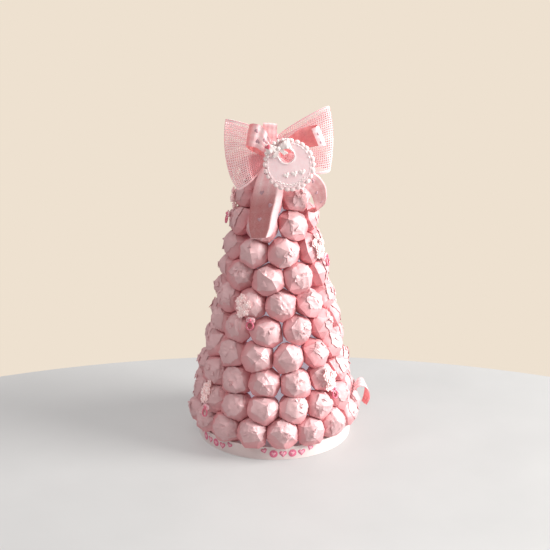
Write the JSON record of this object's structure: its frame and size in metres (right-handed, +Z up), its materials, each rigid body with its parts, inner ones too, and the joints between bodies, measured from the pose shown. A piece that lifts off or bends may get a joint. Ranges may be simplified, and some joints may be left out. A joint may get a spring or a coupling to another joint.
{
  "type": "chocolate tower",
  "caption": "Cone-shaped display tower of foil-wrapped chocolate balls on a ribbon-edged cake drum, with a net and satin bow, a round bib charm and lace flowers with pacifier charms.",
  "frame": {"origin": "centre of the cake drum's underside", "axes": "+Z up the tower; the front, where the bow and the bib are, faces -Y; +X is to the right seen from the front"},
  "size_m": [0.1879, 0.1775, 0.3485],
  "materials": {
    "foil_paper": "satin",
    "drum_board": "matte",
    "printed_ribbon": "satin",
    "foam": "matte",
    "net_ribbon": "matte",
    "satin_ribbon": "glossy",
    "resin_plate": "satin",
    "lace": "matte",
    "pink_plastic": "glossy"
  },
  "bodies": {
    "root": {"cake_drum": "drum_board", "drum_ribbon": "printed_ribbon", "foam_cone": "foam", "chocolate_ring_01": "foil_paper", "chocolate_ring_02": "foil_paper", "chocolate_ring_03": "foil_paper", "chocolate_ring_04": "foil_paper", "chocolate_ring_05": "foil_paper", "chocolate_ring_06": "foil_paper", "chocolate_ring_07": "foil_paper", "chocolate_ring_08": "foil_paper", "chocolate_ring_09": "foil_paper", "chocolate_ring_10": "foil_paper", "chocolate_ring_11": "foil_paper", "chocolate_top": "foil_paper", "net_bow": "net_ribbon", "satin_bow": "satin_ribbon", "side_loop": "satin_ribbon", "bib_charm": "resin_plate", "bib_lace_edge": "lace", "bib_bow": "lace", "lace_flower_01": "lace", "lace_flower_02": "lace", "lace_flower_03": "lace", "lace_flower_04": "lace", "lace_flower_05": "lace", "lace_flower_06": "lace", "lace_flower_07": "lace", "lace_flower_08": "lace", "lace_flower_09": "lace", "pacifier_charm_01": "pink_plastic", "pacifier_charm_02": "pink_plastic", "pacifier_charm_03": "pink_plastic", "pacifier_charm_04": "pink_plastic", "pacifier_charm_05": "pink_plastic", "pacifier_charm_06": "pink_plastic", "pacifier_charm_07": "pink_plastic", "pacifier_charm_08": "pink_plastic", "pacifier_charm_09": "pink_plastic"}
  },
  "joints": []
}
